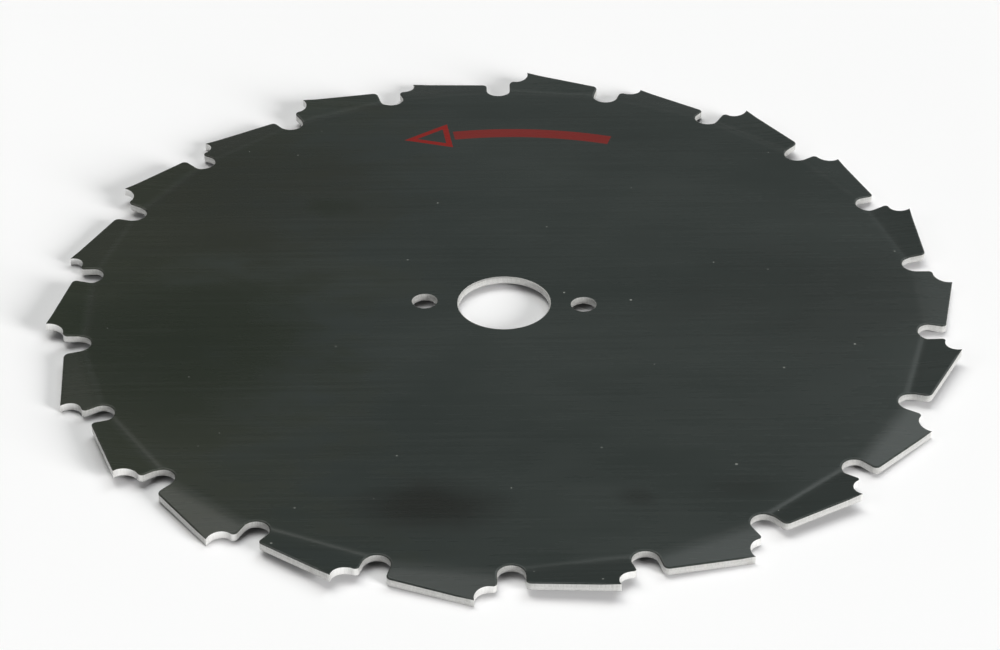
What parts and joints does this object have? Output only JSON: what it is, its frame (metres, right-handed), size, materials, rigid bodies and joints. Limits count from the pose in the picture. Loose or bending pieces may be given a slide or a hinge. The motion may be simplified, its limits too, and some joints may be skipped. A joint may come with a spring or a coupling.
{
  "type": "brush cutter blade",
  "caption": "Round steel saw blade for a brush cutter, with set chisel teeth, rounded gullets, a plain bore and two drive pin holes",
  "frame": {"origin": "centre of the bore, in the middle of the sheet's thickness", "axes": "+Z is the bore's axis and points out of the printed face, which turns anticlockwise seen from there; the two pin holes lie on X; the printed arrow lies towards +Y"},
  "size_m": [0.1982, 0.2, 0.0036],
  "materials": {
    "coated_steel": "satin dark grey-green coating on both faces, with bare steel on the punched and filed edges"
  },
  "bodies": {
    "root": {"blade": "coated_steel"}
  },
  "joints": []
}
